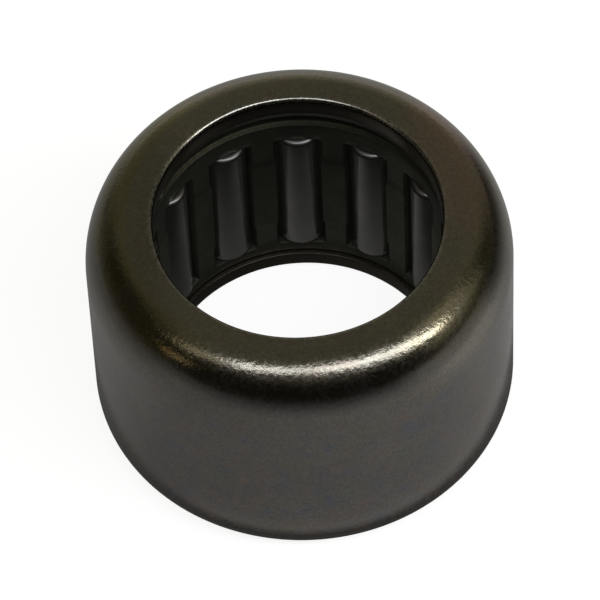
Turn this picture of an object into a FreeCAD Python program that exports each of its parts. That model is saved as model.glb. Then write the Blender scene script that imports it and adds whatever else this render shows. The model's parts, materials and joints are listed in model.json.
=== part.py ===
import FreeCAD, Part
import math
import os

# Drawn cup needle roller bearing with open ends, 12 x 18 x 12 mm.
# Frame: origin at the centre of the bearing on its axis, +Z along the axis towards
# the drawn (large radius) end, millimetres.
# Fifteen pieces: the drawn outer cup, the window cage and thirteen needle rollers.

# ---------------------------------------------------------------- driving dimensions
BORE_D = 12.0            # circle inscribed by the rollers, the shaft size
OUTSIDE_D = 18.0         # outside diameter of the cup
WIDTH = 12.0             # width over both lips

SHEET_T = 1.00           # +Z lip thickness, the drawn cup's sheet
LIP_R = 6.05             # bore radius of both inturned lips
TOP_CORNER_A = 2.30      # elliptic outside corner, +Z end: radial extent
TOP_CORNER_B = 2.90      # the same corner: axial extent, easing into the wall
TOP_FILLET_R = 1.50      # inside corner, +Z end
BOTTOM_CORNER_R = 1.50   # outside radius of the closed-over corner, -Z end
BOTTOM_LIP_T = 0.88      # thinned lip turned in after assembly, -Z end
BOTTOM_FILLET_R = 0.55   # inside radius behind the -Z lip
LIP_EDGE_R = 0.24        # rolled edge at the bore on the outer side of each lip
TOP_INNER_EDGE_R = 0.10  # broken edge at the bore on the inner side of the +Z lip
BOTTOM_INNER_EDGE_R = 0.04  # the same on the -Z lip, left sharper

ROLLER_D = 2.00          # needle roller diameter
ROLLER_L = 7.35          # needle roller length over the rounded ends
ROLLER_END_R = 0.22      # end rounding
ROLLER_COUNT = 13
ROLLER_PHASE_DEG = 1.3   # first roller, measured from +Y towards +X
ROLLER_MID_Z = -0.755    # rollers sit nearer the -Z lip, clear of the drawn corner

RACE_CLEAR = 0.01        # roller to raceway, radial
POCKET_END_CLEAR = 0.07  # roller end to pocket end, each end

CAGE_BOTTOM_Z = -5.07    # lower face of the cage, just off the -Z lip
CAGE_TOP_Z = 4.10        # upper face of the cage
CAGE_T = 0.40            # cage sheet thickness
CAGE_OUT_R = 7.85        # outside radius of the rim flanges
CAGE_IN_R = 6.25         # bore radius of the cage at the rims
CAGE_EDGE_C = 0.16       # broken inner edge of the +Z rim
CAGE_FOOT_C = 0.05       # broken inner edge of the -Z rim
CAGE_TOP_C = 0.30        # outer chamfer of the +Z flange
CAGE_BOTTOM_C = 0.25     # outer chamfer of the -Z flange
WAIST_IN_R = 6.21        # bore radius over the bars' inset middle portion
WAIST_T = 0.38           # bar thickness there
WAIST_HALF = 2.05        # half length of the inset middle portion
WAIST_BEND = 0.45        # axial length of each bend from waist to rim

SLOT_WIDE_W = 2.10       # pocket width beside the roller ends
SLOT_HOLD_W = 1.96       # pocket width at the waist, narrower than a roller
SLOT_HOLD_HALF = 2.00    # half length of the narrow portion of the pocket
SLOT_TAPER = 0.35        # axial length over which the pocket widens
SLOT_CORNER_R = 0.16     # corner radius at the pocket ends
CUTTER_START_R = 5.0     # pocket cutter's inner end, inside the cage bore
CUTTER_DEPTH = 4.0       # its radial length, through the cage

# ---------------------------------------------------------------- derived sizes
OUTSIDE_R = OUTSIDE_D / 2
HALF_WIDTH = WIDTH / 2
ROLLER_R = ROLLER_D / 2
PITCH_R = BORE_D / 2 + ROLLER_R
RACE_R = PITCH_R + ROLLER_R + RACE_CLEAR
ROLLER_ANGLES = [ROLLER_PHASE_DEG + i * 360.0 / ROLLER_COUNT for i in range(ROLLER_COUNT)]

ORIGIN = FreeCAD.Vector(0, 0, 0)
AXIS = FreeCAD.Vector(0, 0, 1)


# ---------------------------------------------------------------- profiles in the XZ plane
def point(x, z):
    return FreeCAD.Vector(x, 0, z)


def line(start, end):
    return Part.LineSegment(point(*start), point(*end)).toShape()


def lines(points):
    """Open chain of straight edges."""
    return [line(start, end) for start, end in zip(points, points[1:])]


def corner(centre, radius, deg_from, deg_to):
    """Round corner, given its centre and its start and end angles from +X."""
    def at(deg):
        angle = math.radians(deg)
        return point(centre[0] + radius * math.cos(angle), centre[1] + radius * math.sin(angle))

    return Part.Arc(at(deg_from), at((deg_from + deg_to) / 2), at(deg_to)).toShape()


def elliptic_corner(centre, radial, axial):
    """Quarter ellipse from straight above the centre round to straight outside it.
    The first point is on the major axis, so axial must exceed radial."""
    x, z = centre
    ellipse = Part.Ellipse(point(x, z + axial), point(x + radial, z), point(x, z))
    return Part.ArcOfEllipse(ellipse, 0, math.pi / 2).toShape()


def face_of(edges):
    return Part.Face(Part.Wire(Part.__sortEdges__(edges)))


def revolve(face):
    return face.revolve(ORIGIN, AXIS, 360).Solids[0]


# ---------------------------------------------------------------- outer cup
def outer_cup():
    top_z, bottom_z = HALF_WIDTH, -HALF_WIDTH
    top_in_z = top_z - SHEET_T                # underside of the +Z lip
    bottom_in_z = bottom_z + BOTTOM_LIP_T     # upper side of the -Z lip

    # Centres of the corners, as (radius, z)
    top_edge = (LIP_R + LIP_EDGE_R, top_z - LIP_EDGE_R)
    top_corner = (OUTSIDE_R - TOP_CORNER_A, top_z - TOP_CORNER_B)
    bottom_corner = (OUTSIDE_R - BOTTOM_CORNER_R, bottom_z + BOTTOM_CORNER_R)
    bottom_edge = (LIP_R + LIP_EDGE_R, bottom_z + LIP_EDGE_R)
    bottom_inner_edge = (LIP_R + BOTTOM_INNER_EDGE_R, bottom_in_z - BOTTOM_INNER_EDGE_R)
    bottom_fillet = (RACE_R - BOTTOM_FILLET_R, bottom_in_z + BOTTOM_FILLET_R)
    top_fillet = (RACE_R - TOP_FILLET_R, top_in_z - TOP_FILLET_R)
    top_inner_edge = (LIP_R + TOP_INNER_EDGE_R, top_in_z - TOP_INNER_EDGE_R)

    return revolve(face_of([
        # outside, from the +Z bore edge round to the -Z bore edge
        corner(top_edge, LIP_EDGE_R, 180, 90),
        line((top_edge[0], top_z), (top_corner[0], top_z)),
        elliptic_corner(top_corner, TOP_CORNER_A, TOP_CORNER_B),
        line((OUTSIDE_R, top_corner[1]), (OUTSIDE_R, bottom_corner[1])),
        corner(bottom_corner, BOTTOM_CORNER_R, 0, -90),
        line((bottom_corner[0], bottom_z), (bottom_edge[0], bottom_z)),
        corner(bottom_edge, LIP_EDGE_R, -90, -180),
        # bore of the -Z lip, then the inside surfaces and the bore of the +Z lip
        line((LIP_R, bottom_edge[1]), (LIP_R, bottom_inner_edge[1])),
        corner(bottom_inner_edge, BOTTOM_INNER_EDGE_R, 180, 90),
        line((bottom_inner_edge[0], bottom_in_z), (bottom_fillet[0], bottom_in_z)),
        corner(bottom_fillet, BOTTOM_FILLET_R, -90, 0),
        line((RACE_R, bottom_fillet[1]), (RACE_R, top_fillet[1])),
        corner(top_fillet, TOP_FILLET_R, 0, 90),
        line((top_fillet[0], top_in_z), (top_inner_edge[0], top_in_z)),
        corner(top_inner_edge, TOP_INNER_EDGE_R, 90, 180),
        line((LIP_R, top_inner_edge[1]), (LIP_R, top_edge[1])),
    ]))


# ---------------------------------------------------------------- cage
def cage_blank():
    """Revolved channel section of thin sheet: a web close to the shaft, set in a
    little further at its waist, with a flange turned outwards at each end."""
    web_out_r = CAGE_IN_R + CAGE_T
    waist_out_r = WAIST_IN_R + WAIST_T
    waist_top_z = ROLLER_MID_Z + WAIST_HALF
    waist_bottom_z = ROLLER_MID_Z - WAIST_HALF
    bend_top_z = waist_top_z + WAIST_BEND
    bend_bottom_z = waist_bottom_z - WAIST_BEND

    # Section corners, as (radius, z)
    bore = [
        (CAGE_IN_R, CAGE_BOTTOM_Z + CAGE_FOOT_C),
        (CAGE_IN_R, bend_bottom_z),
        (WAIST_IN_R, waist_bottom_z),
        (WAIST_IN_R, waist_top_z),
        (CAGE_IN_R, bend_top_z),
        (CAGE_IN_R, CAGE_TOP_Z - CAGE_EDGE_C),
    ]
    top_flange = [
        (CAGE_IN_R + CAGE_EDGE_C, CAGE_TOP_Z),
        (CAGE_OUT_R - CAGE_TOP_C, CAGE_TOP_Z),
        (CAGE_OUT_R, CAGE_TOP_Z - CAGE_TOP_C),
        (CAGE_OUT_R, CAGE_TOP_Z - CAGE_T),
        (web_out_r, CAGE_TOP_Z - CAGE_T),
    ]
    web_outside = [
        (web_out_r, bend_top_z),
        (waist_out_r, waist_top_z),
        (waist_out_r, waist_bottom_z),
        (web_out_r, bend_bottom_z),
    ]
    bottom_flange = [
        (web_out_r, CAGE_BOTTOM_Z + CAGE_T),
        (CAGE_OUT_R, CAGE_BOTTOM_Z + CAGE_T),
        (CAGE_OUT_R, CAGE_BOTTOM_Z + CAGE_BOTTOM_C),
        (CAGE_OUT_R - CAGE_BOTTOM_C, CAGE_BOTTOM_Z),
        (CAGE_IN_R + CAGE_FOOT_C, CAGE_BOTTOM_Z),
    ]
    section = bore + top_flange + web_outside + bottom_flange
    outline = Part.makePolygon([point(*p) for p in section + section[:1]])
    return revolve(Part.Face(outline))


def pocket_cutter():
    """One pocket as a prism along +Y: wide beside the roller's ends, and narrower
    than the roller at the waist, so that the roller can't fall inwards."""
    end_z = ROLLER_L / 2 + POCKET_END_CLEAR
    taper_z = SLOT_HOLD_HALF + SLOT_TAPER
    wide = SLOT_WIDE_W / 2
    narrow = SLOT_HOLD_W / 2
    corner_x = wide - SLOT_CORNER_R
    corner_z = end_z - SLOT_CORNER_R

    # The +X side, upwards; half a turn gives the -X side, downwards
    side = [
        (wide, -corner_z), (wide, -taper_z), (narrow, -SLOT_HOLD_HALF),
        (narrow, SLOT_HOLD_HALF), (wide, taper_z), (wide, corner_z),
    ]
    other_side = [(-x, -z) for x, z in side]
    face = face_of([
        *lines(side),
        corner((corner_x, corner_z), SLOT_CORNER_R, 0, 90),
        line((corner_x, end_z), (-corner_x, end_z)),
        corner((-corner_x, corner_z), SLOT_CORNER_R, 90, 180),
        *lines(other_side),
        corner((-corner_x, -corner_z), SLOT_CORNER_R, 180, 270),
        line((-corner_x, -end_z), (corner_x, -end_z)),
        corner((corner_x, -corner_z), SLOT_CORNER_R, 270, 360),
    ])
    face.translate(FreeCAD.Vector(0, CUTTER_START_R, ROLLER_MID_Z))
    return face.extrude(FreeCAD.Vector(0, CUTTER_DEPTH, 0))


def cage():
    pocket = pocket_cutter()
    cutters = []
    for angle in ROLLER_ANGLES:
        cutter = pocket.copy()
        cutter.rotate(ORIGIN, AXIS, -angle)
        cutters.append(cutter)
    # Merge the faces split by the cut
    return cage_blank().cut(cutters).removeSplitter()


# ---------------------------------------------------------------- needle roller
def roller(angle_deg):
    half = ROLLER_L / 2
    round_r = ROLLER_R - ROLLER_END_R
    round_z = half - ROLLER_END_R
    solid = revolve(face_of([
        line((0, -half), (round_r, -half)),
        corner((round_r, -round_z), ROLLER_END_R, -90, 0),
        line((ROLLER_R, -round_z), (ROLLER_R, round_z)),
        corner((round_r, round_z), ROLLER_END_R, 0, 90),
        line((round_r, half), (0, half)),
        line((0, half), (0, -half)),
    ]))
    angle = math.radians(angle_deg)
    solid.translate(FreeCAD.Vector(
        PITCH_R * math.sin(angle), PITCH_R * math.cos(angle), ROLLER_MID_Z))
    return solid


# ---------------------------------------------------------------- write the parts
def export(name, shape):
    if not shape.isValid() or len(shape.Solids) != 1:
        raise ValueError("%s isn't one valid solid" % name)
    shape.Solids[0].exportStep("parts/%s.step" % name)


os.makedirs("parts", exist_ok=True)
export("outer_cup", outer_cup())
export("cage", cage())
for number, roller_angle in enumerate(ROLLER_ANGLES, start=1):
    export("needle_roller_%02d" % number, roller(roller_angle))
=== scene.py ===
"""A drawn-cup needle roller bearing: a steel cup, a pressed cage and a ring of rollers.

The bearing's axis is +Z through the origin. The camera looks down from the front, which
is -Y, and +X is on its right. Sizes are in millimetres and become metres through MM.
Lamps and the camera are placed in metres.
"""
import json
import math

import bmesh
import bpy
import numpy as np
from mathutils import Matrix, Vector


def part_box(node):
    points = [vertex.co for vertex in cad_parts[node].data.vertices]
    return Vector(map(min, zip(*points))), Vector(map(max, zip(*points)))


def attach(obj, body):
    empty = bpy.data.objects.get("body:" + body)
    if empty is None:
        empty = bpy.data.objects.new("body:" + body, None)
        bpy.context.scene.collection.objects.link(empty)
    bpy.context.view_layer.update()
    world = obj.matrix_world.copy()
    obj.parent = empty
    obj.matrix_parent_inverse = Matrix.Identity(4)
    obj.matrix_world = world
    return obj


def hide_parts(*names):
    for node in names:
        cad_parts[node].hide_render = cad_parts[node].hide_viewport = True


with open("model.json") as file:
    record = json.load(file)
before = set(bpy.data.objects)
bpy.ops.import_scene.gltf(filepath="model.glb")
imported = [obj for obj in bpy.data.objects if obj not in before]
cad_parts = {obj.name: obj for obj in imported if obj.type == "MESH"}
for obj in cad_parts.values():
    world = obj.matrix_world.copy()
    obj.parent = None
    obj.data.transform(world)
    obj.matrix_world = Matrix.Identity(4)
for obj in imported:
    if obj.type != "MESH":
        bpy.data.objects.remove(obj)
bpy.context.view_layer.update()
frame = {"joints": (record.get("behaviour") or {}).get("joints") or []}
MM = 0.001

# ------------------------------------------------------------------ sizes from the CAD pieces
cup_low, cup_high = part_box("outer_cup")
cage_low, cage_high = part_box("cage")
roller_low, roller_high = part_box("needle_roller_01")
CUP_R = (cup_high.x - cup_low.x) / 2 / MM
CUP_TOP, CUP_BOTTOM = cup_high.z / MM, cup_low.z / MM
CAGE_TOP, CAGE_BOTTOM = cage_high.z / MM, cage_low.z / MM
CAGE_OUT = (cage_high.x - cage_low.x) / 2 / MM
ROLLER_TOP, ROLLER_BOTTOM = roller_high.z / MM, roller_low.z / MM
ROLLER_MID = (ROLLER_TOP + ROLLER_BOTTOM) / 2
ROLLER_HALF = (ROLLER_TOP - ROLLER_BOTTOM) / 2
ROLLER_PLACES = {
    joint["child"]: (joint["pos_m"][0] / MM, joint["pos_m"][1] / MM)
    for joint in frame["joints"]
    if joint["child"].startswith("needle_roller_")
}
ROLLERS = sorted(ROLLER_PLACES)
COUNT = len(ROLLERS)
PITCH_R = math.hypot(*ROLLER_PLACES[ROLLERS[0]])
PHASE = math.atan2(*ROLLER_PLACES[ROLLERS[0]])      # first roller, from +Y towards +X

# ------------------------------------------------------------------ sizes of the sections
ROLLER_R = 1.0
ROLLER_EDGE = 0.22              # rounding of a roller's ends
RACE_R = PITCH_R + ROLLER_R + 0.01

SHEET = 1.0                     # thickness of the cup's top
LIP_R = 6.05                    # bore of both lips
LIP_EDGE = 0.24                 # rounding of the lips' outward edges
TOP_LIP_EDGE = 0.10             # rounding under the top lip
LOW_LIP_EDGE = 0.04             # rounding on the lower lip's upper edge
CROWN_R, CROWN_H = 2.30, 2.90   # elliptical corner at the top, across and up
BOTTOM_CORNER = 1.50
LOW_LIP = 0.88                  # thickness of the lower lip
RACE_TOP_FILLET, RACE_LOW_FILLET = 1.50, 0.55

CAGE_IN, CAGE_SHEET = 6.25, 0.40
CAGE_WEB = CAGE_IN + CAGE_SHEET
CAGE_TOP_IN, CAGE_TOP_OUT = 0.16, 0.30      # chamfers at the top
CAGE_LOW_IN, CAGE_LOW_OUT = 0.05, 0.25      # chamfers at the bottom
WAIST_IN, WAIST_SHEET = 6.21, 0.38          # the web draws in at mid height
WAIST_HALF, WAIST_BEND = 2.05, 0.45         # half height of the waist, height of its bend
SLOT_W, SLOT_HOLD = 2.10, 1.96              # pocket width at its ends and at mid height
HOLD_HALF, SLOT_TAPER, SLOT_CORNER = 2.00, 0.35, 0.16
SLOT_HALF = ROLLER_HALF + 0.07              # half the pocket's length


# ------------------------------------------------------------------ meshes
def arc(centre_r, centre_z, radius_r, radius_z, start, end, steps):
    """Points along an elliptical arc between two angles in degrees, both ends included."""
    return [(centre_r + radius_r * math.cos(angle), centre_z + radius_z * math.sin(angle))
            for angle in np.radians(np.linspace(start, end, steps + 1))]


def straight(start, end, steps):
    return [(start[0] + (end[0] - start[0]) * k / steps,
             start[1] + (end[1] - start[1]) * k / steps) for k in range(steps + 1)]


def tidy(points):
    """Leaves out points that repeat the one before."""
    kept = []
    for point in points:
        if not kept or math.dist(point, kept[-1]) > 1e-5:
            kept.append(point)
    return kept


def add_object(name, data):
    obj = bpy.data.objects.new(name, data)
    bpy.context.scene.collection.objects.link(obj)
    return obj


def smooth_solid(name, verts, faces):
    """A smooth-shaded solid with its normals outward."""
    mesh = bpy.data.meshes.new(name)
    mesh.from_pydata(verts, [], faces)
    mesh.validate()
    mesh.update()
    mesh.shade_smooth()
    solid = bmesh.new()
    solid.from_mesh(mesh)
    bmesh.ops.recalc_face_normals(solid, faces=solid.faces)
    solid.to_mesh(mesh)
    solid.free()
    mesh.update()
    return add_object(name, mesh)


def lathe(name, section, segments, centre=(0.0, 0.0), closed=False):
    """A section of (radius, z) turned round a line along Z through centre.

    A point on that line becomes one vertex. A closed section joins its last ring to its first.
    """
    verts, rings = [], []
    for radius, z in section:
        if radius < 1e-6:
            rings.append([len(verts)] * segments)
            verts.append((centre[0] * MM, centre[1] * MM, z * MM))
            continue
        rings.append(range(len(verts), len(verts) + segments))
        for k in range(segments):
            angle = 2 * math.pi * k / segments
            verts.append(((centre[0] + radius * math.cos(angle)) * MM,
                          (centre[1] + radius * math.sin(angle)) * MM, z * MM))
    faces = []
    for here, after in zip(rings, rings[1:] + (rings[:1] if closed else [])):
        for k in range(segments):
            n = (k + 1) % segments
            # a face that meets the axis names its pole twice, and becomes a triangle
            faces.append(tuple(dict.fromkeys((here[k], here[n], after[n], after[k]))))
    return smooth_solid(name, verts, faces)


def cup_section():
    under = CUP_TOP - SHEET
    low = CUP_BOTTOM + LOW_LIP
    lip, top_lip, low_lip = LIP_EDGE, TOP_LIP_EDGE, LOW_LIP_EDGE
    corner, high_fillet, low_fillet = BOTTOM_CORNER, RACE_TOP_FILLET, RACE_LOW_FILLET
    # centre r, centre z, radius r, radius z, first angle, last angle, steps,
    # and the steps of the straight that leads to the next arc
    arcs = (
        (LIP_R + lip, CUP_TOP - lip, lip, lip, 180, 90, 8, 4),
        (CUP_R - CROWN_R, CUP_TOP - CROWN_H, CROWN_R, CROWN_H, 90, 0, 40, 14),
        (CUP_R - corner, CUP_BOTTOM + corner, corner, corner, 0, -90, 24, 6),
        (LIP_R + lip, CUP_BOTTOM + lip, lip, lip, -90, -180, 8, 3),
        (LIP_R + low_lip, low - low_lip, low_lip, low_lip, 180, 90, 4, 5),
        (RACE_R - low_fillet, low + low_fillet, low_fillet, low_fillet, -90, 0, 10, 10),
        (RACE_R - high_fillet, under - high_fillet, high_fillet, high_fillet, 0, 90, 16, 3),
        (LIP_R + top_lip, under - top_lip, top_lip, top_lip, 90, 180, 6, 4),
    )
    curves = [arc(*row[:-1]) for row in arcs]
    points = []
    for row, curve, after in zip(arcs, curves, curves[1:] + curves[:1]):
        points += curve + straight(curve[-1], after[0], row[-1])
    # the last point repeats the first
    return tidy(points)[:-1][::-1]


def roller_section():
    """Open, from pole to pole, so the solid closes on its axis."""
    bottom, top = ROLLER_MID - ROLLER_HALF, ROLLER_MID + ROLLER_HALF
    edge = ROLLER_EDGE
    end_r = ROLLER_R - edge
    points = [(0.0, bottom), (end_r * 0.5, bottom)]
    points += arc(end_r, bottom + edge, edge, edge, -90, 0, 12)
    points += straight((ROLLER_R, bottom + edge), (ROLLER_R, top - edge), 8)
    points += arc(end_r, top - edge, edge, edge, 0, 90, 12)
    points += [(end_r * 0.5, top), (0.0, top)]
    return tidy(points)


def ease(distance, flat, taper):
    """1 up to a distance of flat, easing to 0 over taper."""
    t = min(max((flat + taper - distance) / taper, 0.0), 1.0)
    return t * t * (3 - 2 * t)


def web_radius(z, full, waist):
    return full + (waist - full) * ease(abs(z - ROLLER_MID), WAIST_HALF, WAIST_BEND)


def pocket_half_width(z):
    """Half width of a pocket at height z, with its rounded corners."""
    distance = abs(z - ROLLER_MID)
    wide, narrow = SLOT_W / 2, SLOT_HOLD / 2
    if distance >= SLOT_HALF - SLOT_CORNER:
        into = min(distance - (SLOT_HALF - SLOT_CORNER), SLOT_CORNER)
        return wide - SLOT_CORNER + math.sqrt(max(SLOT_CORNER ** 2 - into ** 2, 0.0))
    return wide + (narrow - wide) * ease(distance, HOLD_HALF, SLOT_TAPER)


def pocket_heights():
    """Heights of the rows along a pocket, from its lower end to its upper one."""
    bottom = ROLLER_MID - SLOT_HALF
    narrow = ROLLER_MID - HOLD_HALF
    wide = narrow - SLOT_TAPER
    heights = [bottom]
    heights += [bottom + SLOT_CORNER * (1 - math.cos(math.radians(angle)))
                for angle in (25, 45, 65, 90)]
    heights += list(np.linspace(bottom + SLOT_CORNER, wide, 5)[1:])
    heights += list(np.linspace(wide, narrow, 7)[1:])
    heights += list(np.linspace(narrow, ROLLER_MID + HOLD_HALF, 13)[1:])
    mirrored = [2 * ROLLER_MID - z for z in heights[::-1]]
    return heights + [z for z in mirrored if z > heights[-1] + 1e-6]


def cage_mesh(name):
    """A pressed channel in equal sectors, each with one shaped pocket.

    A row is a place along the closed section, a column a place round the sector.
    """
    half = math.pi / COUNT
    slot_bottom, slot_top = ROLLER_MID - SLOT_HALF, ROLLER_MID + SLOT_HALF
    flange_mid = (CAGE_OUT + CAGE_WEB) / 2
    end_mid = CAGE_IN + (CAGE_OUT - CAGE_IN) * 0.5
    top, bottom = CAGE_TOP, CAGE_BOTTOM
    heights = pocket_heights()
    steps = len(heights) - 1

    rows = [(CAGE_IN, bottom + CAGE_LOW_IN), (CAGE_IN, bottom + (slot_bottom - bottom) * 0.6)]
    inner_low = len(rows)                    # the web's inner side, going up
    rows += [(web_radius(z, CAGE_IN, WAIST_IN), z) for z in heights]
    inner_high = inner_low + steps
    rows += [(CAGE_IN, z) for z in np.linspace(slot_top, top - CAGE_TOP_IN, 4)[1:]]
    rows += [
        (CAGE_IN + CAGE_TOP_IN, top), (end_mid, top),
        (CAGE_OUT - CAGE_TOP_OUT, top), (CAGE_OUT, top - CAGE_TOP_OUT),
        (CAGE_OUT, top - CAGE_SHEET), (flange_mid, top - CAGE_SHEET),
        (CAGE_WEB, top - CAGE_SHEET), (CAGE_WEB, (slot_top + top - CAGE_SHEET) / 2),
    ]
    outer_high = len(rows)                   # its outer side, going down
    rows += [(web_radius(z, CAGE_WEB, WAIST_IN + WAIST_SHEET), z) for z in heights[::-1]]
    outer_low = outer_high + steps
    rows += [
        (CAGE_WEB, bottom + CAGE_SHEET), (flange_mid, bottom + CAGE_SHEET),
        (CAGE_OUT, bottom + CAGE_SHEET), (CAGE_OUT, bottom + CAGE_LOW_OUT),
        (CAGE_OUT - CAGE_LOW_OUT, bottom), (end_mid, bottom), (CAGE_IN + CAGE_LOW_IN, bottom),
    ]

    side, middle = 6, 12                     # columns beside and across the pocket
    width = 2 * side + middle
    left, right = side, side + middle
    verts, faces = [], []
    for sector in range(COUNT):
        turn = PHASE + sector * 2 * half
        for radius, z in rows:
            if slot_bottom - 1e-9 <= z <= slot_top + 1e-9:
                slot = math.asin(pocket_half_width(z) / radius)
            else:
                slot = math.asin((SLOT_W / 2 - SLOT_CORNER) / radius)
            columns = [-half + (half - slot) * k / side for k in range(side)]
            columns += [-slot + 2 * slot * k / middle for k in range(middle + 1)]
            columns += [slot + (half - slot) * k / side for k in range(1, side)]
            for column in columns:
                angle = turn + column
                verts.append((radius * math.sin(angle) * MM, radius * math.cos(angle) * MM,
                              z * MM))

    def quad(sector, *corners):
        """A face on four (row, column) corners; the last column leads to the next sector."""
        face = []
        for row, column in corners:
            place = (sector + column // width) % COUNT
            face.append((place * len(rows) + row % len(rows)) * width + column % width)
        faces.append(tuple(face))

    for sector in range(COUNT):
        for i in range(len(rows)):
            in_pocket = inner_low <= i < inner_high or outer_high <= i < outer_low
            for k in range(width):
                if not (in_pocket and left <= k < right):
                    quad(sector, (i, k), (i + 1, k), (i + 1, k + 1), (i, k + 1))
        for m in range(steps):               # the pocket's two side walls
            i, o = inner_low + m, outer_low - m
            quad(sector, (i, left), (i + 1, left), (o - 1, left), (o, left))
            quad(sector, (i + 1, right), (i, right), (o, right), (o - 1, right))
        for k in range(left, right):         # its two end walls
            quad(sector, (inner_low, k + 1), (inner_low, k), (outer_low, k), (outer_low, k + 1))
            quad(sector, (inner_high, k), (inner_high, k + 1),
                 (outer_high, k + 1), (outer_high, k))

    # vertices in the open pockets belong to no face
    kept = sorted({v for face in faces for v in face})
    renumbered = {v: n for n, v in enumerate(kept)}
    obj = smooth_solid(name, [verts[v] for v in kept],
                       [tuple(renumbered[v] for v in face) for face in faces])
    bevel = obj.modifiers.new("rounded", "BEVEL")
    bevel.width = 0.055 * MM
    bevel.segments = 2
    bevel.limit_method = "ANGLE"
    bevel.angle_limit = math.radians(32)
    bevel.use_clamp_overlap = True
    bevel.harden_normals = False
    return obj


# ------------------------------------------------------------------ shader nodes
class Value:
    """An output socket. Arithmetic on it adds Math nodes, with the operands in order."""

    def __init__(self, tree, socket):
        self.tree, self.socket = tree, socket

    def __add__(self, other):
        return self.tree.math("ADD", self, other)

    def __radd__(self, other):
        return self.tree.math("ADD", other, self)

    def __sub__(self, other):
        return self.tree.math("SUBTRACT", self, other)

    def __rsub__(self, other):
        return self.tree.math("SUBTRACT", other, self)

    def __mul__(self, other):
        return self.tree.math("MULTIPLY", self, other)

    def __truediv__(self, other):
        return self.tree.math("DIVIDE", self, other)

    def __abs__(self):
        return self.tree.math("ABSOLUTE", self)

    def sibling(self, output):
        """Another output of the same node."""
        return Value(self.tree, self.socket.node.outputs[output])

    def fade(self, over, to=(0.0, 1.0), smooth=True):
        """Maps the range over, which may run downwards, to the range to, and clamps."""
        return self.tree.get(
            "ShaderNodeMapRange",
            {"Value": self, "From Min": over[0], "From Max": over[1],
             "To Min": to[0], "To Max": to[1]},
            interpolation_type="SMOOTHSTEP" if smooth else "LINEAR")


class Tree:
    """Builds the node tree of a material or a world."""

    def __init__(self, owner):
        owner.use_nodes = True
        self.tree = owner.node_tree
        self.tree.nodes.clear()

    def add(self, kind, inputs=None, **settings):
        node = self.tree.nodes.new(kind)
        for key, value in settings.items():
            setattr(node, key, value)
        for key, value in (inputs or {}).items():
            socket = node.inputs[key]
            if isinstance(value, Value):
                self.tree.links.new(value.socket, socket)
            else:
                socket.default_value = (*value, 1.0) if socket.type == "RGBA" else value
        return node

    def get(self, kind, inputs=None, output=0, **settings):
        """Adds a node and returns one of its outputs."""
        return Value(self, self.add(kind, inputs, **settings).outputs[output])

    def math(self, operation, first, second=0.0, clamp=False):
        return self.get("ShaderNodeMath", {0: first, 1: second, 2: 0.0},
                        operation=operation, use_clamp=clamp)

    def vector(self, operation, first, second, output=0):
        return self.get("ShaderNodeVectorMath", {0: first, 1: second}, output,
                        operation=operation)

    def mix(self, share, base, top, mode="MIX"):
        return self.get("ShaderNodeMix", {0: share, 6: base, 7: top}, 2,
                        data_type="RGBA", blend_type=mode)

    def stain(self, base, mask, share, colour):
        return self.mix(mask * share, base, colour)

    def patches(self, base, table):
        """Stains a colour where patterns fade in: (pattern, fade range, share, colour)."""
        for pattern, over, share, colour in table:
            base = self.stain(base, pattern.fade(over), share, colour)
        return base

    def dimmed(self, colour, factor):
        grey = self.get("ShaderNodeCombineColor", {0: factor, 1: factor, 2: factor})
        return self.mix(1.0, colour, grey, "MULTIPLY")

    def noise(self, point, scale, detail, rough, distort=0.0, seed=0):
        moved = self.vector("ADD", point, (seed * 3.1, seed * 7.7, seed * 5.3))
        return self.get("ShaderNodeTexNoise",
                        {"Vector": moved, "Scale": scale, "Detail": detail,
                         "Roughness": rough, "Distortion": distort}, "Fac")

    def millimetres(self):
        """The object's own coordinates in millimetres: the point, then x, y and z."""
        metres = self.get("ShaderNodeTexCoord", output="Object")
        point = self.vector("MULTIPLY", metres, (1000.0, 1000.0, 1000.0))
        x = self.get("ShaderNodeSeparateXYZ", {0: point})
        return point, x, x.sibling(1), x.sibling(2)

    def radius(self, x, y):
        return self.math("SQRT", x * x + y * y)

    def light(self, kind, colour, strength):
        return self.get(kind, {"Color": colour, "Strength": strength})

    def blend(self, share, first, second):
        return self.get("ShaderNodeMixShader", {0: share, 1: first, 2: second})

    def metal(self, colour, rough, height, painted_glow):
        """Ends the tree in bare metal with a faint painted glow; height is its relief in
        millimetres.
        """
        bump = self.get("ShaderNodeBump", {"Strength": 1.0, "Distance": MM, "Height": height})
        surface = self.get("ShaderNodeBsdfPrincipled", {
            "Base Color": colour, "Metallic": 1.0, "Roughness": rough, "Normal": bump,
            "Emission Color": (1.0, 1.0, 0.8), "Emission Strength": painted_glow})
        self.add("ShaderNodeOutputMaterial", {"Surface": surface})


# ------------------------------------------------------------------ materials
# a faint painted glow, so the deepest gaps are not pure black
PAINTED_GLOW = 0.0016                # a trace of haze, so the deepest gaps are not pure black
MID_NOISE = (0.3, 0.7)       # the range that most noise values fall in


def new_material(name):
    material = bpy.data.materials.new(name)
    return material, Tree(material)


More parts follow.
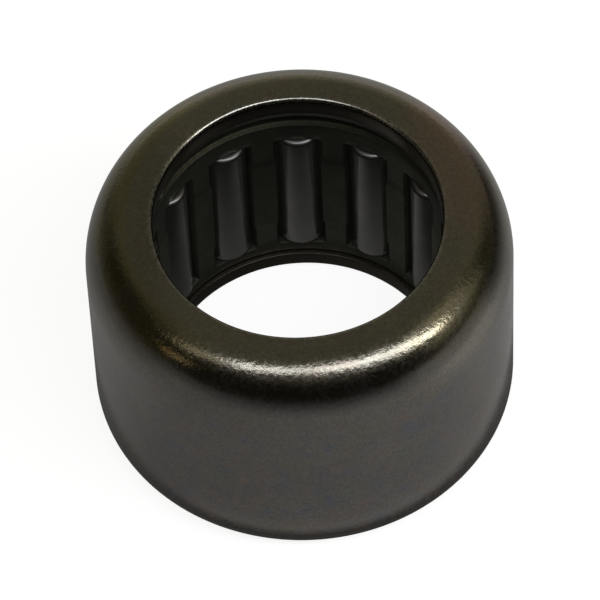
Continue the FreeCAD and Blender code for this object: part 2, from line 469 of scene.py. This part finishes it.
def cup_material():
    """Warm grey wall, olive-brown inner part of the top, and a film that comes and goes."""
    material, tree = new_material("cup_steel")
    point, x, y, z = tree.millimetres()
    radius = tree.radius(x, y)
    cloud = tree.noise(point, scale=0.33, detail=3.0, rough=0.55, distort=0.3, seed=1)
    blotch = tree.noise(point, scale=1.1, detail=4.0, rough=0.6, distort=0.4, seed=2)
    fine = tree.noise(point, scale=6.5, detail=3.0, rough=0.6, seed=3)
    grain = tree.noise(point, scale=22.0, detail=2.0, rough=0.65, seed=4)
    drift = tree.noise(point, scale=0.55, detail=2.0, rough=0.5, distort=0.6, seed=9)
    pitted = tree.noise(point, scale=5.4, detail=2.0, rough=0.60, seed=10)
    face_edge = (8.35, 8.15)     # radii where the top's inner part begins

    wall = tree.mix(cloud.fade(over=(0.36, 0.62)), (0.240, 0.233, 0.227), (0.275, 0.260, 0.241))
    wall = tree.patches(wall, (
        (blotch, (0.52, 0.66), 0.85, (0.298, 0.250, 0.220)),    # brown
        (blotch, (0.47, 0.33), 0.85, (0.216, 0.232, 0.272)),    # blue
        (drift, (0.52, 0.68), 0.55, (0.252, 0.252, 0.208)),     # olive
        (drift, (0.46, 0.32), 0.50, (0.262, 0.238, 0.248)),     # mauve
    ))
    crown = tree.mix(cloud.fade(over=(0.35, 0.68)), (0.280, 0.268, 0.236), (0.300, 0.280, 0.246))
    crown = tree.patches(crown, ((blotch, (0.50, 0.70), 0.6, (0.264, 0.254, 0.230)),))
    drawn = tree.mix(cloud.fade(over=(0.35, 0.68)), (0.254, 0.237, 0.196), (0.274, 0.254, 0.208))
    drawn = tree.patches(drawn, (
        (blotch, (0.50, 0.68), 0.7, (0.278, 0.242, 0.200)),     # brown
        (blotch, (0.46, 0.32), 0.6, (0.238, 0.234, 0.192)),     # olive
    ))
    face = radius.fade(over=face_edge)
    crown = tree.mix(face, crown, drawn)

    # a bronze film on the rounded corner, towards its left and right
    corner = radius.fade(over=(6.9, 7.5)) * radius.fade(over=(8.78, 8.25))
    film = abs(x).fade(over=(3.0, 5.6)) * (corner * drift.fade(over=(0.26, 0.46)))
    bronze = tree.mix(x.fade(over=(-3.0, 3.0)), (0.268, 0.236, 0.134), (0.266, 0.243, 0.172))
    crown = tree.stain(crown, film, share=0.90, colour=bronze)

    # painted shade: darker on the left and lighter on the right, both on the corner and on the
    # face
    side = x.fade(over=(-8.5, 8.5), to=(0.94, 1.10), smooth=False)
    side = side * x.fade(over=(-5.4, -7.0), to=(1.0, 0.80))
    side = side * (1.0 - face) + x.fade(over=(-4.4, -6.3), to=(1.0, 0.80)) * face
    crown = tree.dimmed(crown, side)

    # reddish tarnish on the right of the face
    tarnish = x.fade(over=(4.0, 5.9)) * y.fade(over=(-2.5, 0.8)) * cloud.fade(over=(0.25, 0.50))
    crown = tree.stain(crown, tarnish * face, share=0.85, colour=(0.330, 0.256, 0.203))

    # painted reflection of the dim room: a darker band round the front of the corner
    band = z.fade(over=(5.40, 5.10)) * z.fade(over=(3.9, 4.4))
    painted_dark_reflection = band * (abs(x).fade(over=(5.5, 3.5)) * y.fade(over=(-3.0, -5.0)))
    crown = tree.stain(crown, painted_dark_reflection, share=0.80, colour=(0.206, 0.202, 0.196))
    colour = tree.mix(z.fade(over=(2.2, 4.6)), wall, crown)

    # painted highlight: brighter steel along the bore's upper edge
    rim = z.fade(over=(CUP_TOP - 0.45, CUP_TOP - 0.10)) * fine.fade(over=(0.34, 0.60))
    painted_edge_highlight = radius.fade(over=(6.36, 6.12)) * rim
    colour = tree.stain(colour, painted_edge_highlight, share=0.75, colour=(0.42, 0.41, 0.38))

    # the inside: nearer the axis than an ellipse that follows the top corner
    over_r = tree.math("MAXIMUM", radius - 6.7, 0.0) / CROWN_R
    over_z = tree.math("MAXIMUM", z - 3.1, 0.0) / CROWN_H
    skin = over_r * over_r + over_z * over_z
    inside = radius.fade(over=face_edge) * skin.fade(over=(0.82, 0.66))
    colour = tree.mix(inside, colour, (0.240, 0.222, 0.180))

    # painted shade below the edge of the top lip
    under = CUP_TOP - SHEET
    near_lip = z.fade(over=(4.6, 4.8)) * radius.fade(over=(6.40, 6.25))
    painted_lip_shade = z.fade(over=(under + 0.24, under + 0.12)) * near_lip
    colour = tree.stain(colour, painted_lip_shade, share=0.70, colour=(0.070, 0.066, 0.052))

    # painted shade on the lower lip's inner face, strongest at its bore edge where it dims the
    # edge's highlight; old oil and dirt there too
    low = inside * z.fade(over=(-4.2, -4.9))
    low = low * radius.fade(over=(6.20, 6.10), to=(0.25, 0.95))
    colour = tree.mix(low, colour, (0.066, 0.062, 0.048))

    speck = grain.fade(over=(0.30, 0.72), to=(0.80, 1.20))
    speck = speck + fine.fade(over=MID_NOISE, to=(-0.09, 0.09))
    colour = tree.dimmed(colour, speck)
    rough = fine.fade(over=MID_NOISE, to=(0.13, 0.22))
    rough = rough + blotch.fade(over=MID_NOISE, to=(-0.02, 0.03))

    # dents, deeper on the top and on the left of the corner
    top = z.fade(over=(5.20, 5.50)) * radius.fade(over=(6.9, 7.3), to=(0.0, 0.0082))
    left = x.fade(over=(-4.2, -5.2)) * z.fade(over=(4.7, 5.0))
    left = left * radius.fade(over=(7.4, 7.8), to=(0.0, 0.0045))
    dents = pitted * (0.0024 + top) + pitted * left
    height = grain * 0.0018 + (dents + blotch * 0.008)

    # a little more painted glow in the upper part of the inside, so the gap under the lip is not
    # black
    upper_glow = radius.fade(over=(6.35, 6.6)) * z.fade(over=(3.0, 3.6), to=(0.0, 0.0026))
    tree.metal(colour, rough, height, painted_glow=inside * (PAINTED_GLOW + upper_glow))
    return material


def cage_material():
    """Dark oiled steel, with painted shade at its top and foot."""
    material, tree = new_material("cage_steel")
    point, _, _, z = tree.millimetres()
    cloud = tree.noise(point, scale=0.8, detail=3.0, rough=0.6, distort=0.2, seed=5)
    fine = tree.noise(point, scale=7.0, detail=3.0, rough=0.6, seed=6)
    # masks for painted shade: the top, under the cup's lip, and the foot, down by the lower lip
    rim = z.fade(over=(CAGE_TOP - 0.22, CAGE_TOP - 0.08))
    foot = z.fade(over=(CAGE_BOTTOM + 1.1, CAGE_BOTTOM + 0.6))
    ends = tree.math("MAXIMUM", rim, foot)
    colour = tree.mix(cloud.fade(over=MID_NOISE), (0.118, 0.118, 0.096), (0.160, 0.158, 0.128))
    # paint the shade in at the foot and at the top
    colour = tree.stain(colour, foot, share=0.45, colour=(0.05, 0.05, 0.04))
    colour = tree.stain(colour, rim, share=0.92, colour=(0.030, 0.030, 0.018))
    # a faint painted glow keeps the cage's deepest gaps from going black
    tree.metal(colour, rough=fine.fade(over=MID_NOISE, to=(0.34, 0.50)) + ends * 0.12,
               height=fine * 0.006 + cloud * 0.012, painted_glow=PAINTED_GLOW)
    return material


def roller_material():
    """Bright steel with fine rings round the roller and duller ends."""
    material, tree = new_material("roller_steel")
    point, _, _, z = tree.millimetres()
    cloud = tree.noise(point, scale=0.6, detail=3.0, rough=0.55, distort=0.2, seed=7)
    squeezed = tree.vector("MULTIPLY", point, (1.0, 1.0, 14.0))
    rings = tree.noise(squeezed, scale=2.0, detail=4.0, rough=0.6, seed=8)
    ends = abs(z - ROLLER_MID).fade(over=(ROLLER_HALF - 0.24, ROLLER_HALF - 0.14))
    colour = tree.mix(cloud.fade(over=MID_NOISE), (0.40, 0.40, 0.395), (0.48, 0.475, 0.465))
    colour = tree.mix(ends, colour, (0.215, 0.212, 0.205))
    # a faint painted glow keeps the rollers' shaded sides from going black
    tree.metal(colour, rough=rings.fade(over=MID_NOISE, to=(0.16, 0.26)) + ends * 0.16,
               height=rings * 0.0016, painted_glow=PAINTED_GLOW)
    return material


# ------------------------------------------------------------------ the object
def dress(piece, part, material):
    piece.data.materials.append(material)
    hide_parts(part)
    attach(piece, part)


dress(lathe("cup_body", cup_section(), segments=512, closed=True),
      "outer_cup", cup_material())
dress(cage_mesh("cage_body"), "cage", cage_material())
roller_steel = roller_material()
for part in ROLLERS:
    roller = lathe("roller_body_" + part[-2:], roller_section(), segments=96,
                   centre=ROLLER_PLACES[part])
    dress(roller, part, roller_steel)


# ------------------------------------------------------------------ floor
def reflected_level(tree):
    """Brightness of the floor as the steel sees it."""
    point, x, y, _ = tree.millimetres()
    radius = tree.radius(x, y)
    away = y / tree.math("MAXIMUM", radius, 0.01)       # 1 behind the object, -1 in front
    aside = x / tree.math("MAXIMUM", radius, 0.01)      # 1 on the right, -1 on the left
    leftish = aside.fade(over=(-0.40, -0.85))

    # dim inside the bore, and a shadow under the cup
    bore = y.fade(over=(-0.8, 5.0), to=(0.012, 0.074), smooth=False)
    bore = bore * radius.fade(over=(9.0, 7.0))
    shade = radius.fade(over=(7.0, 9.5), to=(0.0, 0.088))

    # the near zone, with a bright line just beyond the foot except on the left
    near = aside.fade(over=(-1.0, 1.0), to=(0.104, 0.178))
    near = near + away.fade(over=(0.2, 1.0), to=(0.0, 0.085))
    near = near * (1.0 - leftish * radius.fade(over=(14.0, 11.0), to=(0.0, 0.17)))
    glint = radius.fade(over=(10.05, 10.22)) * radius.fade(over=(10.60, 10.32), to=(0.0, 0.085))
    glint = glint * (1.0 - leftish)
    level = near * radius.fade(over=(9.92, 10.14)) + (shade + glint)

    # a soft pool of light on each side: centre x, y, fade range of distance, brightness
    for pool_x, pool_y, reach, bright in (
        (25.0, -7.0, (15.0, 4.0), 0.15),
        (-22.0, -2.0, (14.0, 4.0), 0.08),
    ):
        distance = tree.vector("DISTANCE", point, (pool_x, pool_y, CUP_BOTTOM), "Value")
        level = level + distance.fade(over=reach, to=(0.0, bright))

    # the far zone: bright behind, fairly bright on the right, dark elsewhere
    rightish = aside * 0.951 + away * -0.309
    distant = away.fade(over=(0.70, 0.96), to=(0.060, 0.44))
    distant = distant + rightish.fade(over=(0.80, 0.99), to=(0.0, 0.16))
    distant = distant + aside.fade(over=(-0.3, -0.9), to=(0.0, 0.030))
    distant = distant + away.fade(over=(-0.3, -0.9), to=(0.0, 0.035))
    far = radius.fade(over=(28.0, 100.0))
    level = level * (1.0 - far) + distant * far

    # a dim wedge behind on the right
    wedge = aside * 0.88 + away * 0.475
    dim = wedge.fade(over=(0.84, 0.97)) * radius.fade(over=(15.0, 45.0)) * 0.62
    level = level * (1.0 - dim) + bore

    # inside the bore, brighter as seen from the right
    incoming = tree.get("ShaderNodeNewGeometry", output="Incoming")
    incoming_x = tree.get("ShaderNodeSeparateXYZ", {0: incoming})
    return level * (1.0 + incoming_x * 0.45 * radius.fade(over=(9.0, 6.5)))


def floor_material():
    """White paper to the camera, a painted surround to reflections, clear from below."""
    material, tree = new_material("floor_paper")
    camera_ray = tree.get("ShaderNodeLightPath", output="Is Camera Ray")
    glow = tree.light("ShaderNodeEmission", colour=(0.98, 0.98, 0.975), strength=0.91)
    paper = tree.get("ShaderNodeBsdfDiffuse", {"Color": (0.35, 0.35, 0.35)})
    shown = tree.get("ShaderNodeAddShader", {0: glow, 1: paper})
    mirrored = tree.light("ShaderNodeEmission", (1.0, 0.985, 0.95), reflected_level(tree))
    surface = tree.blend(camera_ray, mirrored, shown)
    # a viewer underneath looks through the paper, and the underside is lit softly by it
    passed = tree.math("GREATER_THAN", camera_ray.sibling("Transparent Depth"), 0.5)
    beneath = tree.light("ShaderNodeEmission", colour=(1.0, 0.99, 0.95), strength=0.30)
    surface = tree.blend(passed, surface, beneath)
    clear = tree.get("ShaderNodeBsdfTransparent", {"Color": (1.0, 1.0, 1.0)})
    underside = tree.get("ShaderNodeNewGeometry", output="Backfacing")
    surface = tree.blend(underside, surface, clear)
    tree.add("ShaderNodeOutputMaterial", {"Surface": surface})
    return material


def make_floor():
    half = 0.9
    z = (CUP_BOTTOM - 0.01) * MM
    mesh = bpy.data.meshes.new("floor")
    mesh.from_pydata([(-half, -half, z), (half, -half, z), (half, half, z), (-half, half, z)],
                     [], [(0, 1, 2, 3)])
    floor = add_object("floor", mesh)
    mesh.materials.append(floor_material())


make_floor()


# ------------------------------------------------------------------ lamps
def lamp(name, length, width, radiance, colour):
    data = bpy.data.lights.new(name, "AREA")
    data.shape = "RECTANGLE"
    data.size = length
    data.size_y = width
    data.energy = radiance * math.pi * data.size * data.size_y
    data.color = colour
    obj = add_object(name, data)
    obj.visible_camera = False
    return obj


def pose(x_axis, y_axis, z_axis, place):
    return Matrix((*zip(x_axis, y_axis, z_axis, place), (0, 0, 0, 1)))


def bar(name, first, last, distance, width, radiance, colour):
    """A narrow lamp between two directions, facing the object."""
    start, end = Vector(first).normalized(), Vector(last).normalized()
    facing = (start + end).normalized()
    along = (end - start).normalized()
    obj = lamp(name, (end - start).length * distance, width, radiance, colour)
    obj.matrix_world = pose(along, facing.cross(along), facing, facing * distance)


# A row of soft strips parallel to X above the front, each starting where the last ends.
# Name, right end and lean towards -Y as shares of the height, width, radiance, colour.
STRIP_H = 0.30
STRIPS = (
    ("strip_a", -0.47, 0.41, 0.050, 0.65, (1.0, 0.93, 0.80)),
    ("strip_b", -0.08, 0.460, 0.060, 3.5, (1.0, 1.03, 1.12)),
    ("strip_c", 0.12, 0.445, 0.062, 2.7, (1.0, 1.03, 1.12)),
    ("strip_d", 0.60, 0.490, 0.080, 4.4, (1.0, 1.03, 1.10)),
    ("strip_g", 0.95, 0.490, 0.092, 4.0, (1.0, 1.02, 1.07)),
    ("strip_e", 1.55, 0.490, 0.070, 7.0, (1.0, 1.00, 1.00)),
    ("strip_f", 1.90, 0.470, 0.050, 3.0, (1.0, 0.90, 0.74)),
)
left_end = -1.20
for name, right_end, lean, width, radiance, colour in STRIPS:
    strip = lamp(name, (right_end - left_end) * STRIP_H, width, radiance, colour)
    y = -lean * STRIP_H
    strip.location = ((left_end + right_end) / 2 * STRIP_H, y, STRIP_H)
    to_axis = -Vector((0, y, STRIP_H)).normalized()
    strip.rotation_euler = to_axis.to_track_quat("-Z", "Y").to_euler()
    left_end = right_end
bar("bar_left", first=(-0.905, -0.325, 0.275), last=(-0.768, -0.512, 0.385),
    distance=0.50, width=0.020, radiance=1.05, colour=(1.0, 0.74, 0.40))


# ------------------------------------------------------------------ world
def make_world():
    """Even overhead, bright low down behind, a glow on the right, darkest low in front."""
    world = bpy.data.worlds.new("room")
    bpy.context.scene.world = world
    tree = Tree(world)
    direction = tree.get("ShaderNodeTexCoord", output="Generated")
    x, y, z = [tree.get("ShaderNodeSeparateXYZ", {0: direction}, axis) for axis in range(3)]
    flat = tree.math("MAXIMUM", tree.radius(x, y), 0.001)
    behind = y / flat                                   # 1 behind, -1 in front
    column = (x * 0.990 + y * -0.139) / flat            # 1 towards the glow

    back = behind.fade(over=(0.40, 0.97), to=(0.0, 0.150))
    low = 0.034 + (back + behind.fade(over=(0.90, 1.0), to=(0.0, 0.12)))
    low = low * behind.fade(over=(-0.15, -0.75), to=(1.0, 0.42))
    low = low + z.fade(over=(0.18, 0.0), to=(0.0, 0.020))

    # the heights between which low gives way to overhead, lower behind and on the right
    begin = behind.fade(over=(0.25, 0.80), to=(0.46, 0.0)) - x * 0.10
    until = behind.fade(over=(0.25, 0.80), to=(0.92, 0.52)) - x * 0.08
    share = tree.math("DIVIDE", z - begin, until - begin, clamp=True).fade(over=(0.0, 1.0))
    overhead = z.fade(over=(0.55, 0.97), to=(0.138, 0.126))
    level = low * (1.0 - share) + overhead * share

    heights = z.fade(over=(0.05, 0.38)) * z.fade(over=(0.92, 0.78))
    level = level + column.fade(over=(0.90, 0.99), to=(0.0, 0.25)) * heights
    room = tree.light("ShaderNodeBackground", (1.07, 1.02, 0.78), level)
    pale = tree.light("ShaderNodeBackground", colour=(0.975, 0.975, 0.97), strength=0.93)
    camera_ray = tree.get("ShaderNodeLightPath", output="Is Camera Ray")
    tree.add("ShaderNodeOutputWorld", {"Surface": tree.blend(camera_ray, room, pale)})


make_world()

# ------------------------------------------------------------------ camera
ELEVATION = math.radians(54.8)
ROLL = math.radians(2.727)
DISTANCE = 0.250
AIM_LEFT, AIM_BELOW = 0.0619958 * MM, 0.0450106 * MM    # the aim's offset from the origin
back = Vector((0.0, -math.cos(ELEVATION), math.sin(ELEVATION)))
right = Vector((1.0, 0.0, 0.0))
up = back.cross(right)
across = math.cos(ROLL) * right - math.sin(ROLL) * up
upward = math.sin(ROLL) * right + math.cos(ROLL) * up
place = back * DISTANCE - across * AIM_LEFT - upward * AIM_BELOW
camera_data = bpy.data.cameras.new("camera")
camera_data.sensor_width = 36.0
camera_data.lens = 353.25
camera_data.clip_start, camera_data.clip_end = 0.01, 10.0
camera = add_object("camera", camera_data)
camera.matrix_world = pose(across, upward, back, place)
bpy.context.scene.camera = camera
bpy.context.scene.view_settings.view_transform = "Standard"
